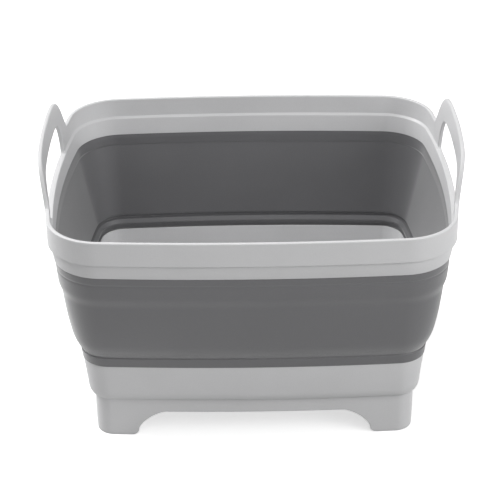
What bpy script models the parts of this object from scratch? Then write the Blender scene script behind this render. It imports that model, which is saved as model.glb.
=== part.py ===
"""Collapsible wash basin: rim frame with two loop handles, folding soft wall, footed tray and drain plug.

Lengths are metres, +Z is up, the length lies along X and the feet stand on z = 0.
The soft wall is one moulding on the real basin. Here it is split at its two fold lines into a
top band, a fold panel and a bottom cuff, which slide past each other as the basin is pushed flat.
"""
import math

import bmesh
import bpy
import numpy as np

# Rim outline seen from above: a rounded rectangle whose four sides are long arcs
RIM_LENGTH = 0.356
RIM_WIDTH = 0.303
CORNER_RADIUS = 0.048
LONG_SIDE_BOW = 0.0083
SHORT_SIDE_BOW = 0.0156

# Heights, stacked from the ground up
FOOT_HEIGHT = 0.0243
FOOT_RING_HEIGHT = 0.0137
TRAY_HEIGHT = 0.0375
CUFF_HEIGHT = 0.01
PANEL_HEIGHT = 0.063
BAND_HEIGHT = 0.0257
RIM_LOWER_HEIGHT = 0.0139
RIM_UPPER_HEIGHT = 0.0213

# Rim frame section
RIM_THICKNESS = 0.0036
RIM_EDGE = 0.0008
RIM_STEP = 0.0021
RIM_STEP_HEIGHT = 0.0006
RIM_LOWER_TAPER = 0.0023
RIM_LOWER_THICKNESS = 0.0025
LEDGE_WIDTH = 0.0018
LEDGE_DROP = 0.002
LEDGE_ABOVE_STEP = 0.004

# Loop handles
HANDLE_LENGTH = 0.172
HANDLE_RISE = 0.0343
HANDLE_FLARE = 0.0044
SLOT_LENGTH = 0.134
SLOT_RISE = 0.0353

# Soft wall
SKIN = 0.0016
WALL_TAPER = 0.0076
WALL_TUCK = 0.006
CUFF_TAPER = 0.0012
LAP = 0.0015
SLIDE_CLEARANCE = 0.0004

# Base tray
TRAY_WALL = 0.0024
LIP_HEIGHT = 0.0042
LIP_THICKNESS = 0.0008
TRAY_TAPER = 0.003
TRAY_ROUND_DEPTH = 0.005
TRAY_ROUND_HEIGHT = 0.0115
FLOOR_THICKNESS = 0.0024
FLOOR_ROUND_DEPTH = 0.0075
FLOOR_ROUND_HEIGHT = 0.009
FOOT_WALL = 0.0025
FOOT_TAPER = 0.0009
FOOT_LENGTH = 0.0446
FOOT_CORNER = 0.006
ARCH_SHOULDER = 0.024

# Drain and its plug
DRAIN_RADIUS = 0.017
DRAIN_DEPTH = 0.0068
SUMP_RADIUS = 0.0225
SUMP_DEPTH = 0.003
SUMP_WALL = 0.0025
GRID_THICKNESS = 0.0018
GRID_BAR_WIDTH = 0.0026
PLUG_RADIUS = 0.022
PLUG_STEM_RADIUS = 0.0135
PLUG_LIP = 0.0015
PLUG_LIP_HEIGHT = 0.0017
PLUG_EDGE = 0.0006
SEAL_HEIGHT = 0.0036
SEAL_CREST_HEIGHT = 0.0012
SEAL_CREST = 0.0006
GRIP_LENGTH = 0.03
GRIP_HEIGHT = 0.011
GRIP_THICKNESS = 0.005
GRIP_EDGE = 0.0012

# Room between pieces that touch, and how far a cutter runs past what it cuts
GAP = 0.0003
OVERRUN = 0.01

# Shape numbers without a unit
TUCK_POWER = 4
HANDLE_POWER = 10.5
HANDLE_LEG_POWER = 1.9
LEAN_POWER = 2.1
LEAN_SHARES = (0.35, 0.7)
SLOT_POWER = 11
ARCH_POWER = 1.5
LONG_SIDE_STEPS = 10
SHORT_SIDE_STEPS = 56
CORNER_STEPS = 8
PLAIN_SIDE_STEPS = 10
ROUND_STEPS = 4
PANEL_STEPS = 7
BAND_STEPS = 3
TURNED_STEPS = 32
ARCH_STEPS = 8
SLOT_STEPS = 22
GRIP_STEPS = 12

# Levels worked out from the stacked heights
TRAY_BOTTOM_Z = FOOT_HEIGHT + FOOT_RING_HEIGHT
TRAY_TOP_Z = TRAY_BOTTOM_Z + TRAY_HEIGHT
CUFF_BOTTOM_Z = TRAY_TOP_Z + GAP
CUFF_TOP_Z = CUFF_BOTTOM_Z + CUFF_HEIGHT
PANEL_BOTTOM_Z = CUFF_TOP_Z - LAP
PANEL_TOP_Z = PANEL_BOTTOM_Z + PANEL_HEIGHT
BAND_BOTTOM_Z = PANEL_TOP_Z - LAP
BAND_TOP_Z = BAND_BOTTOM_Z + BAND_HEIGHT
RIM_BOTTOM_Z = BAND_TOP_Z + GAP
RIM_STEP_Z = RIM_BOTTOM_Z + RIM_LOWER_HEIGHT
RIM_TOP_Z = RIM_STEP_Z + RIM_UPPER_HEIGHT
FLOOR_Z = TRAY_BOTTOM_Z + FLOOR_THICKNESS

# Insets from the rim's outline, followed inwards down the wall
RIM_BOTTOM_INSET = RIM_STEP + RIM_LOWER_TAPER
BAND_TOP_INSET = RIM_BOTTOM_INSET + GAP
PANEL_STEP_IN = SKIN + SLIDE_CLEARANCE
PANEL_BOTTOM_INSET = BAND_TOP_INSET + WALL_TAPER + WALL_TUCK + PANEL_STEP_IN
CUFF_TOP_INSET = PANEL_BOTTOM_INSET + SKIN + SLIDE_CLEARANCE
CUFF_BOTTOM_INSET = CUFF_TOP_INSET + CUFF_TAPER
TRAY_BOTTOM_INSET = CUFF_BOTTOM_INSET + TRAY_TAPER + TRAY_ROUND_DEPTH
FOOT_INSET = TRAY_BOTTOM_INSET + FOOT_TAPER


def material(name, rgb, roughness):
    """One plain plastic finish."""
    finish = bpy.data.materials.new(name)
    finish.use_nodes = True
    shader = finish.node_tree.nodes["Principled BSDF"]
    shader.inputs["Base Color"].default_value = (*rgb, 1.0)
    shader.inputs["Roughness"].default_value = roughness
    shader.inputs["Metallic"].default_value = 0.0
    return finish


def outline(inset, long_steps=PLAIN_SIDE_STEPS, short_steps=PLAIN_SIDE_STEPS):
    """Points of the rim's outline moved inwards by inset, anticlockwise from the middle of the +X side.

    Each side is an arc through its middle and its ends, and the corner arc touches both. An inset
    takes the same length off every radius, so walls between two insets are evenly thick.
    """
    half_length, half_width = RIM_LENGTH / 2, RIM_WIDTH / 2
    long_radius = (half_length ** 2 + LONG_SIDE_BOW ** 2) / (2 * LONG_SIDE_BOW)
    short_radius = (half_width ** 2 + SHORT_SIDE_BOW ** 2) / (2 * SHORT_SIDE_BOW)
    long_centre = np.array([0.0, half_width - long_radius])
    short_centre = np.array([half_length - short_radius, 0.0])
    reach_long = long_radius - CORNER_RADIUS
    reach_short = short_radius - CORNER_RADIUS
    span = short_centre - long_centre
    distance = np.linalg.norm(span)
    along = (reach_long ** 2 - reach_short ** 2 + distance ** 2) / (2 * distance)
    aside = math.sqrt(reach_long ** 2 - along ** 2)
    unit = span / distance
    corner = long_centre + unit * along + np.array([unit[1], -unit[0]]) * aside
    short_end = math.atan2(corner[1] - short_centre[1], corner[0] - short_centre[0])
    long_end = math.atan2(corner[1] - long_centre[1], corner[0] - long_centre[0])

    def arc(centre, radius, start, stop, steps):
        angle = np.linspace(start, stop, steps + 1)
        return centre + (radius - inset) * np.c_[np.cos(angle), np.sin(angle)]

    quarter = np.vstack([
        arc(short_centre, short_radius, 0.0, short_end, short_steps // 2)[:-1],
        arc(corner, CORNER_RADIUS, short_end, long_end, CORNER_STEPS)[:-1],
        arc(long_centre, long_radius, long_end, math.pi / 2, long_steps // 2),
    ])
    half = np.vstack([quarter, (quarter * (-1, 1))[-2::-1]])
    return np.vstack([half, (half * (1, -1))[-2:0:-1]])


def object_from_rings(name, rings, finish, origin_z=0.0, tube=True):
    """A closed body whose faces join each ring to the next.

    A tube joins its last ring to its first. Otherwise the first and last rings are closed by flat faces.
    """
    count = len(rings[0])
    shell = bmesh.new()
    loops = [[shell.verts.new((x, y, z - origin_z)) for x, y, z in ring] for ring in rings]
    pairs = list(zip(loops, loops[1:]))
    if tube:
        pairs.append((loops[-1], loops[0]))
    for lower, upper in pairs:
        for i in range(count):
            j = (i + 1) % count
            shell.faces.new((lower[i], lower[j], upper[j], upper[i]))
    if not tube:
        shell.faces.new(loops[0])
        shell.faces.new(loops[-1])
    return finished_object(name, shell, finish, origin_z)


def finished_object(name, shell, finish, origin_z=0.0):
    """Turns the faces outwards, shades the round ones smooth and puts the mesh into the scene."""
    bmesh.ops.recalc_face_normals(shell, faces=shell.faces[:])
    mesh = bpy.data.meshes.new(name)
    shell.to_mesh(mesh)
    shell.free()
    mesh.shade_smooth()
    mesh.set_sharp_from_angle(angle=math.radians(35))
    body = bpy.data.objects.new(name, mesh)
    body.location.z = origin_z
    bpy.context.collection.objects.link(body)
    if finish is not None:
        mesh.materials.append(finish)
    return body


def level_ring(inset, z):
    """The outline at one inset and one height."""
    points = outline(inset)
    return np.c_[points, np.full(len(points), z)]


def turned_rings(profile):
    """One ring of points about the Z axis for each radius and height of the profile."""
    angle = np.arange(TURNED_STEPS) * (2 * math.pi / TURNED_STEPS)
    return [np.c_[r * np.cos(angle), r * np.sin(angle), np.full(TURNED_STEPS, z)] for r, z in profile]


def prism(name, points, start, stop, along_x, finish=None):
    """A flat outline of (across, up) points, carried along X or Y from start to stop."""
    shell = bmesh.new()
    ends = []
    for place in (start, stop):
        ends.append([shell.verts.new((place, u, z) if along_x else (u, place, z)) for u, z in points])
    shell.faces.new(ends[0])
    shell.faces.new(ends[1])
    for i in range(len(points)):
        j = (i + 1) % len(points)
        shell.faces.new((ends[0][i], ends[0][j], ends[1][j], ends[1][i]))
    return finished_object(name, shell, finish)


def hide_tool(tool):
    """Marks a body that only shapes another one."""
    tool.hide_render = True
    tool.display_type = "WIRE"


def combine(body, tool, operation):
    """Adds or cuts one body with another by an exact Boolean."""
    step = body.modifiers.new(tool.name, "BOOLEAN")
    step.operation = operation
    step.solver = "EXACT"
    step.object = tool
    hide_tool(tool)


def handle_height(y):
    """How far the rim's top edge stands above its plain height at a place y along the short side.

    A flat-topped arch: full height in the middle, round shoulders and steep legs at its ends.
    """
    share = np.clip(np.abs(y) / (HANDLE_LENGTH / 2), 0.0, 1.0)
    return HANDLE_RISE * (1 - share ** HANDLE_POWER) ** HANDLE_LEG_POWER


def rim_frame(finish):
    """The rim and both loop handles, one moulding with a stepped band and two finger slots.

    The section's last number says how far each point rises with the handle. A handle leans out
    further and further towards its top.
    """
    rise = handle_height(outline(0.0, LONG_SIDE_STEPS, SHORT_SIDE_STEPS)[:, 1])
    ledge_z = RIM_STEP_Z + LEDGE_ABOVE_STEP
    ledge_inset = RIM_THICKNESS + LEDGE_WIDTH
    edge_z = RIM_TOP_Z - RIM_EDGE
    between = [(ledge_z + share * (edge_z - ledge_z), share) for share in LEAN_SHARES]
    section = [
        (RIM_BOTTOM_INSET, RIM_BOTTOM_Z, 0),
        (RIM_STEP, RIM_STEP_Z, 0),
        (0.0, RIM_STEP_Z + RIM_STEP_HEIGHT, 0),
        *((0.0, z, share) for z, share in between),
        (0.0, edge_z, 1),
        (RIM_EDGE, RIM_TOP_Z, 1),
        (RIM_THICKNESS - RIM_EDGE, RIM_TOP_Z, 1),
        (RIM_THICKNESS, edge_z, 1),
        *((RIM_THICKNESS, z, share) for z, share in between[::-1]),
        (RIM_THICKNESS, ledge_z, 0),
        (ledge_inset, ledge_z - LEDGE_DROP, 0),
        (RIM_BOTTOM_INSET + RIM_LOWER_THICKNESS, RIM_BOTTOM_Z, 0),
    ]
    rings = []
    for inset, z, follows_handle in section:
        points = outline(inset, LONG_SIDE_STEPS, SHORT_SIDE_STEPS)
        height = z + follows_handle * rise
        height_share = np.clip((height - RIM_STEP_Z) / (RIM_UPPER_HEIGHT + rise), 0.0, 1.0)
        lean = HANDLE_FLARE * (rise / HANDLE_RISE) * height_share ** LEAN_POWER
        rings.append(np.c_[points[:, 0] + np.sign(points[:, 0]) * lean, points[:, 1], height])
    body = object_from_rings("rim_frame", rings, finish, RIM_BOTTOM_Z)

    sill_z = ledge_z - LEDGE_DROP
    share = np.sin(np.linspace(-math.pi / 2, math.pi / 2, SLOT_STEPS + 1))
    arch = [(SLOT_LENGTH / 2 * s, sill_z + SLOT_RISE * (1 - abs(s) ** SLOT_POWER)) for s in share]
    reach = RIM_LENGTH / 2 + OVERRUN
    for name, side in (("left_slot_cut", -1), ("right_slot_cut", 1)):
        inner = side * (RIM_LENGTH / 2 - SHORT_SIDE_BOW - OVERRUN)
        combine(body, prism(name, arch, inner, side * reach, along_x=True), "DIFFERENCE")
    return body


def wall_inset(z):
    """Inset of the bulging wall's outer face: an even taper, then a quick tuck towards the bottom."""
    share = (BAND_TOP_Z - z) / (BAND_TOP_Z - PANEL_BOTTOM_Z)
    return BAND_TOP_INSET + WALL_TAPER * share + WALL_TUCK * share ** TUCK_POWER


def wall_sleeve(name, levels, insets, finish):
    """A soft sleeve of even thickness with the given outer insets at the given heights."""
    outer = [level_ring(inset, z) for inset, z in zip(insets, levels)]
    inner = [level_ring(inset + SKIN, z) for inset, z in zip(insets, levels)]
    return object_from_rings(name, outer + inner[::-1], finish, levels[0])


def soft_wall(finish):
    """Top band under the rim, fold panel, and bottom cuff on the tray."""
    band_z = np.linspace(BAND_BOTTOM_Z, BAND_TOP_Z, BAND_STEPS + 1)
    band = wall_sleeve("wall_top_band", band_z, wall_inset(band_z), finish)
    panel_z = np.linspace(PANEL_BOTTOM_Z, PANEL_TOP_Z, PANEL_STEPS + 1)
    panel = wall_sleeve("wall_fold_panel", panel_z, wall_inset(panel_z) + PANEL_STEP_IN, finish)
    cuff_z = np.array([CUFF_BOTTOM_Z, CUFF_TOP_Z])
    cuff = wall_sleeve("wall_bottom_cuff", cuff_z, (CUFF_BOTTOM_INSET, CUFF_TOP_INSET), finish)
    return band, panel, cuff


def rounded_levels(inset, z, depth, height):
    """Insets and heights down a quarter ellipse from a wall into a floor."""
    angle = np.linspace(0.0, math.pi / 2, ROUND_STEPS + 1)
    return [(inset + depth * (1 - math.cos(a)), z + height * (1 - math.sin(a))) for a in angle]


def arch_outline(half_span):
    """The gap between two feet: a flat top whose ends drop in part of a superellipse.

    A quarter round leads from its foot to the foot's underside.
    """
    share = np.linspace(0.0, 1.0, ARCH_STEPS + 1)
    across = half_span - ARCH_SHOULDER + ARCH_SHOULDER * share
    up = FOOT_CORNER + (FOOT_HEIGHT - FOOT_CORNER) * (1 - share ** ARCH_POWER) ** (1 / ARCH_POWER)
    angle = np.linspace(0.0, math.pi / 2, ROUND_STEPS + 1)[1:]
    below = [(half_span + FOOT_CORNER * (1 - math.cos(a)), FOOT_CORNER * (1 - math.sin(a))) for a in angle]
    right = list(zip(across, up)) + below + [(half_span + FOOT_CORNER, -OVERRUN)]
    return right + [(-u, z) for u, z in reversed(right)]


def base_tray(finish):
    """The tray with its stepped foot ring, four corner feet, sunk drain and drain grid.

    A thin lip on the tray's top edge stands inside the soft cuff.
    """
    wall_foot = CUFF_BOTTOM_INSET + TRAY_TAPER
    outside = [(CUFF_BOTTOM_INSET, TRAY_TOP_Z)]
    outside += rounded_levels(wall_foot, TRAY_BOTTOM_Z, TRAY_ROUND_DEPTH, TRAY_ROUND_HEIGHT)
    outside += [(FOOT_INSET, 0.0), (FOOT_INSET + FOOT_WALL, 0.0), (FOOT_INSET + FOOT_WALL, TRAY_BOTTOM_Z)]
    lip_inset = CUFF_BOTTOM_INSET + SKIN + GAP
    lip_top = TRAY_TOP_Z + LIP_HEIGHT
    inside = [(lip_inset, TRAY_TOP_Z), (lip_inset, lip_top), (lip_inset + LIP_THICKNESS, lip_top)]
    inside += rounded_levels(wall_foot + TRAY_WALL, FLOOR_Z, FLOOR_ROUND_DEPTH, FLOOR_ROUND_HEIGHT)
    rings = [level_ring(inset, z) for inset, z in outside[::-1] + inside]
    body = object_from_rings("base_tray", rings, finish, tube=False)

    half_length, half_width = RIM_LENGTH / 2 - FOOT_INSET, RIM_WIDTH / 2 - FOOT_INSET
    long_arch = prism("long_arch_cut", arch_outline(half_length - FOOT_LENGTH),
                      -RIM_WIDTH, RIM_WIDTH, along_x=False)
    short_arch = prism("short_arch_cut", arch_outline(half_width - FOOT_LENGTH),
                       -RIM_LENGTH, RIM_LENGTH, along_x=True)
    combine(body, long_arch, "DIFFERENCE")
    combine(body, short_arch, "DIFFERENCE")

    seat_z = FLOOR_Z - SUMP_DEPTH
    grid_z = seat_z - DRAIN_DEPTH
    boss_radius = SUMP_RADIUS + SUMP_WALL
    middle_z = (TRAY_BOTTOM_Z + FLOOR_Z) / 2
    boss_profile = [(boss_radius, middle_z), (boss_radius, grid_z - GRID_THICKNESS)]
    boss = object_from_rings("drain_boss", turned_rings(boss_profile), finish, tube=False)
    combine(body, boss, "UNION")
    bore_profile = [
        (SUMP_RADIUS, FLOOR_Z + OVERRUN), (SUMP_RADIUS, seat_z),
        (DRAIN_RADIUS, seat_z), (DRAIN_RADIUS, grid_z - GRID_THICKNESS - OVERRUN),
    ]
    combine(body, object_from_rings("drain_cut", turned_rings(bore_profile), None, tube=False), "DIFFERENCE")
    reach = DRAIN_RADIUS + SUMP_WALL / 2
    half_bar = GRID_BAR_WIDTH / 2
    section = [(-half_bar, grid_z - GRID_THICKNESS), (half_bar, grid_z - GRID_THICKNESS),
               (half_bar, grid_z), (-half_bar, grid_z)]
    for name, along_x in (("grid_bar_x", True), ("grid_bar_y", False)):
        combine(body, prism(name, section, -reach, reach, along_x, finish), "UNION")
    return body


def drain_plug(finish, seal_finish):
    """The push-in plug with a finger grip, and the soft ring in the groove round its stem."""
    seat_z = FLOOR_Z - SUMP_DEPTH + GAP
    seal_top = seat_z - GAP
    seal_bottom = seal_top - SEAL_HEIGHT
    lip_top = seal_bottom - GAP
    lip_bottom = lip_top - PLUG_LIP_HEIGHT
    lip_radius = PLUG_STEM_RADIUS + PLUG_LIP
    profile = [
        (lip_radius - PLUG_EDGE, lip_bottom), (lip_radius, lip_bottom + PLUG_EDGE), (lip_radius, lip_top),
        (PLUG_STEM_RADIUS, lip_top), (PLUG_STEM_RADIUS, seat_z), (PLUG_RADIUS, seat_z),
        (PLUG_RADIUS, FLOOR_Z - PLUG_EDGE), (PLUG_RADIUS - PLUG_EDGE, FLOOR_Z),
    ]
    plug = object_from_rings("drain_plug", turned_rings(profile), finish, seat_z, tube=False)
    share = np.linspace(0.0, math.pi, GRIP_STEPS + 1)
    root_z = FLOOR_Z - SUMP_DEPTH / 2
    fin = [(-GRIP_LENGTH / 2, root_z)]
    fin += [(-GRIP_LENGTH / 2 * math.cos(a), FLOOR_Z + GRIP_HEIGHT * math.sin(a)) for a in share]
    fin += [(GRIP_LENGTH / 2, root_z)]
    grip = prism("plug_grip", fin, -GRIP_THICKNESS / 2, GRIP_THICKNESS / 2, along_x=False, finish=finish)
    edge = grip.modifiers.new("soft_edges", "BEVEL")
    edge.width = GRIP_EDGE
    edge.segments = 2
    combine(plug, grip, "UNION")

    seal_inner = PLUG_STEM_RADIUS + GAP
    seal_outer = DRAIN_RADIUS - GAP
    crest_z = (seal_bottom + seal_top) / 2
    seal_profile = [
        (seal_inner, seal_bottom), (seal_outer - SEAL_CREST, seal_bottom),
        (seal_outer, crest_z - SEAL_CREST_HEIGHT / 2), (seal_outer, crest_z + SEAL_CREST_HEIGHT / 2),
        (seal_outer - SEAL_CREST, seal_top), (seal_inner, seal_top),
    ]
    seal = object_from_rings("plug_seal", turned_rings(seal_profile), seal_finish, seat_z)
    return plug, seal


def slide_guide(name, z, bodies):
    """An empty on the vertical axis that carries the bodies which move together."""
    guide = bpy.data.objects.new(name, None)
    guide.location.z = z
    bpy.context.collection.objects.link(guide)
    for body in bodies:
        body.location.z -= z
        body.parent = guide
    return guide


def main():
    for old in list(bpy.data.objects):
        bpy.data.objects.remove(old, do_unlink=True)
    pale = material("pale grey polypropylene", (0.45, 0.45, 0.45), 0.42)
    soft = material("dark grey thermoplastic rubber", (0.12, 0.12, 0.12), 0.6)
    frame = rim_frame(pale)
    band, panel, cuff = soft_wall(soft)
    base_tray(pale)
    plug, seal = drain_plug(pale, soft)
    slide_guide("rim_slide", RIM_BOTTOM_Z, (frame, band))
    slide_guide("panel_slide", PANEL_BOTTOM_Z, (panel,))
    slide_guide("plug_slide", FLOOR_Z, (plug, seal))
    bpy.context.view_layer.update()


main()
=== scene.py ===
"""Collapsible wash basin: the visible surfaces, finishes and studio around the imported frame.

Lengths are metres and +Z is up. Every piece is a surface worked out on a grid: one parameter runs
round the basin's outline, or round a turned piece, and the other follows the section.
"""
import math

import bmesh
import bpy
import numpy as np
from bpy.props import FloatProperty, FloatVectorProperty, PointerProperty, StringProperty
from bpy.types import Operator, Panel, PropertyGroup
from mathutils import Matrix, Vector


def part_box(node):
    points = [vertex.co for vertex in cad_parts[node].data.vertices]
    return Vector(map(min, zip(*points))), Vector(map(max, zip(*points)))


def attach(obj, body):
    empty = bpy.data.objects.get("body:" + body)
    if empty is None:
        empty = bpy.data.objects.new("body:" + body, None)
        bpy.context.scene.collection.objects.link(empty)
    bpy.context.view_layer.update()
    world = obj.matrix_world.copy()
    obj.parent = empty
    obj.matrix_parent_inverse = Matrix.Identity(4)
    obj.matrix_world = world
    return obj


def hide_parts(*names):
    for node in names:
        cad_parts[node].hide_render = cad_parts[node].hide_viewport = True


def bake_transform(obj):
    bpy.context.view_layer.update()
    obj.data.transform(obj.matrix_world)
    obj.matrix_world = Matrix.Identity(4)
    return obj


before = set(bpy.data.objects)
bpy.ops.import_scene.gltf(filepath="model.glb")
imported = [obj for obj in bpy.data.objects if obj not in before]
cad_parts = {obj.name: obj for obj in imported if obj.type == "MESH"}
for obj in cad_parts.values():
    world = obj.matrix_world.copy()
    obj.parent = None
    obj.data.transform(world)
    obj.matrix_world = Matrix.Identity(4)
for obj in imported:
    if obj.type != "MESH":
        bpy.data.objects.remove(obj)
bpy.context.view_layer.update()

bl_info = {
    "name": "Collapsible wash basin",
    "version": (1, 0, 0),
    "blender": (4, 5, 0),
    "location": "View3D > Sidebar > Wash basin",
    "description": "Builds the surfaces of a wash basin whose soft wall folds between its rim and its tray",
    "category": "Add Mesh",
}

MM = 0.001
NODE_BOX = {name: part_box(name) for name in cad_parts}


def low(name):
    """Height of a frame node's underside."""
    return NODE_BOX[name][0].z


def high(name):
    """Height of a frame node's top."""
    return NODE_BOX[name][1].z


def length(name, default, description):
    """A size that a user can change."""
    return FloatProperty(name=name, description=description, default=default, unit="LENGTH", precision=4)


def share(name, default, description):
    """A plain number."""
    return FloatProperty(name=name, description=description, default=default)


def colour(name, default, description):
    """A colour written as an sRGB hex value."""
    return StringProperty(name=name, description=description, default=default)


# How far the CAD's handles reach out past the rim's plain outline
OVERHANG = 4.268 * MM

# Where the rows of a sheet lie between its edges, closer together near them
SHEET_SHARES = np.array([0, 0.008, 0.02, 0.04, 0.07, 0.14, 0.25, 0.38, 0.52, 0.66, 0.8, 0.9, 0.96, 0.985, 1])
FLAT_SHARES = np.array([0, 0.01, 0.03, 0.1, 0.3, 0.5, 0.7, 0.9, 0.97, 0.99, 1.0])
FOOT_SHARES = np.array([0, 0.05, 0.2, 0.4, 0.6, 0.8, 0.93, 0.98, 1.0])


class OutlineSizes(PropertyGroup):
    """The rim's outline seen from above, which every wall follows at its own inset."""
    length: length("Length", 2 * (NODE_BOX["rim_frame"][1].x - OVERHANG), "Rim end to end, without handles")
    width: length("Width", 2 * NODE_BOX["rim_frame"][1].y, "Rim from front to back")
    corner: length("Corner radius", 48 * MM, "Radius of the four corners")
    long_bow: length("Long side bow", 8.3 * MM, "How far a long side's middle stands out")
    short_bow: length("Short side bow", 15.6 * MM, "How far a short side's middle stands out")


class RimSizes(PropertyGroup):
    """The rigid rim with its two loop handles."""
    bottom: length("Bottom", low("rim_frame"), "Height of the lower band's underside")
    step: length("Step", low("rim_frame") + 13.9 * MM, "Height of the step between the two bands")
    top: length("Top", high("rim_frame") - 34.3 * MM, "Height of the lip away from the handles")
    thickness: length("Thickness", 3.6 * MM, "Wall of the upper band")
    lower_thickness: length("Lower thickness", 2.5 * MM, "Wall of the lower band at its foot")
    step_in: length("Step in", 2.3 * MM, "How far the lower band starts inside the upper one")
    taper: length("Taper", 2.1 * MM, "How far the lower band draws in down its height")
    groove: length("Groove", 0.9 * MM, "Depth and height of the shadow groove under the step")
    ledge: length("Ledge", 1.8 * MM, "Width of the sloping ledge inside")
    ledge_drop: length("Ledge drop", 2.0 * MM, "Height of the sloping ledge inside")
    ledge_rise: length("Ledge rise", 4.0 * MM, "Height of the ledge's upper edge above the step")
    edge: length("Edge", 1.0 * MM, "Radius along the lip, the handles and the finger slots")
    handle_length: length("Handle length", 172 * MM, "Loop handle from notch to notch")
    handle_rise: length("Handle rise", 34.3 * MM, "Height of a handle above the lip")
    flare: length("Handle flare", 4.4 * MM, "How far a handle leans out at its top")
    slot_length: length("Slot length", 134 * MM, "Finger slot along the side")
    slot_rise: length("Slot rise", 35.3 * MM, "Height of the finger slot")
    handle_power: share("Handle shoulder", 10.5, "Higher is a flatter top with rounder shoulders")
    leg_power: share("Handle foot", 1.9, "Higher is a softer run into the lip")
    slot_power: share("Slot shoulder", 11.0, "Higher is a flatter slot top")
    lean_power: share("Handle curve", 2.1, "Higher leans out later on the way up")


class WallSizes(PropertyGroup):
    """The soft wall: a band under the rim, a fold panel and a cuff on the tray, in one moulding."""
    bottom: length("Bottom", low("wall_bottom_cuff") - 0.25 * MM, "Height of the cuff's foot")
    top: length("Top", low("rim_frame") - 0.05 * MM, "Height of the wall's upper edge")
    top_inset: length("Top inset", 5.0 * MM, "Inset of the outer face at its upper edge")
    taper: length("Taper", 7.6 * MM, "How far the wall draws in evenly")
    tuck: length("Tuck", 6.0 * MM, "How far the wall rounds in towards its foot")
    tuck_power: share("Tuck power", 4.0, "Higher keeps the rounding nearer to the foot")
    fold: length("Fold", 146.2 * MM, "Height of the upper fold line outside")
    fold_in: length("Fold step", 1.9 * MM, "How far the panel stands inside the band")
    fold_reach: length("Fold reach", 12 * MM, "Height over which the panel steps in")
    hint: length("Hint line", 164 * MM, "Height of the faint line under the rim")
    hint_in: length("Hint depth", 0.35 * MM, "Depth of the faint line")
    foot: length("Foot fold", 84.4 * MM, "Height of the lower fold line outside")
    foot_in: length("Foot tuck", 2.6 * MM, "Extra rounding just above the lower fold line")
    foot_reach: length("Foot reach", 16 * MM, "Height over which that rounding runs")
    cuff_inset: length("Cuff inset", 22.0 * MM, "Inset of the cuff's upper edge outside")
    ledge_reach: length("Ledge reach", 1.1 * MM, "Height over which the cuff's ledge stands out")
    cuff_taper: length("Cuff taper", 1.1 * MM, "How far the cuff draws in")
    skin: length("Skin", 1.7 * MM, "Wall under the rim")
    notch: length("Notch", 161.0 * MM, "Height of the shallow notch inside, between band and panel")
    notch_in: length("Notch inset", 7.3 * MM, "Inset of the notch")
    bead: length("Bead", 92.7 * MM, "Height of the panel's lower edge inside, over the upper crease")
    bead_in: length("Bead inset", 21.8 * MM, "Inset of that edge")
    crease_floor: length("Crease floor", 19.7 * MM, "Inset of the upper crease's floor")
    roll: length("Roll", 89.0 * MM, "Upper edge of the roll inside")
    roll_foot: length("Roll foot", 84.6 * MM, "Lower edge of the roll, over the lower crease")
    roll_in: length("Roll top inset", 22.7 * MM, "Inset of the roll's upper edge")
    roll_foot_in: length("Roll foot inset", 25.7 * MM, "Inset of the roll's lower edge")
    low_floor: length("Lower crease floor", 23.5 * MM, "Inset of the lower crease's floor")


class TraySizes(PropertyGroup):
    """The rigid tray with its foot ring, four feet and sunk drain."""
    top: length("Top", low("wall_bottom_cuff") - 0.3 * MM, "Height of the tray's upper edge outside")
    lip: length("Lip", high("base_tray"), "Height of the thin lip inside the soft cuff")
    lip_inset: length("Lip inset", 25.4 * MM, "Inset of that lip's outer face")
    lip_wall: length("Lip wall", 0.8 * MM, "Wall of that lip")
    bottom: length("Underside", 38.0 * MM, "Height of the tray's underside")
    floor: length("Floor", 40.4 * MM, "Height of the floor inside")
    top_inset: length("Top inset", 23.5 * MM, "Inset of the outer face at its upper edge")
    wall: length("Wall", 2.4 * MM, "Wall of the tray")
    taper: length("Taper", 3.0 * MM, "How far the wall draws in")
    round_depth: length("Rounding depth", 5.0 * MM, "Outer lower edge, seen from above")
    round_height: length("Rounding height", 11.5 * MM, "Outer lower edge, seen from the side")
    floor_depth: length("Floor rounding depth", 7.5 * MM, "Inner lower edge, seen from above")
    floor_height: length("Floor rounding height", 9.0 * MM, "Inner lower edge, seen from the side")
    foot_inset: length("Foot inset", 32.4 * MM, "Inset of the foot ring's outer face")
    foot_wall: length("Foot wall", 2.5 * MM, "Wall of the foot ring")
    arch_height: length("Arch height", 24.3 * MM, "Height of the gap between two feet")
    long_arch: length("Long arch", 101.0 * MM, "Half the gap between two feet on a long side")
    short_arch: length("Short arch", 74.5 * MM, "Half the gap between two feet on a short side")
    arch_shoulder: length("Arch shoulder", 24 * MM, "Length over which an arch comes down")
    arch_power: share("Arch power", 1.5, "Higher is a squarer arch")
    foot_corner: length("Foot corner", 6 * MM, "Radius of a foot's lower corners")
    edge: length("Edge", 0.7 * MM, "Radius of the tray's edges")


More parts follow.
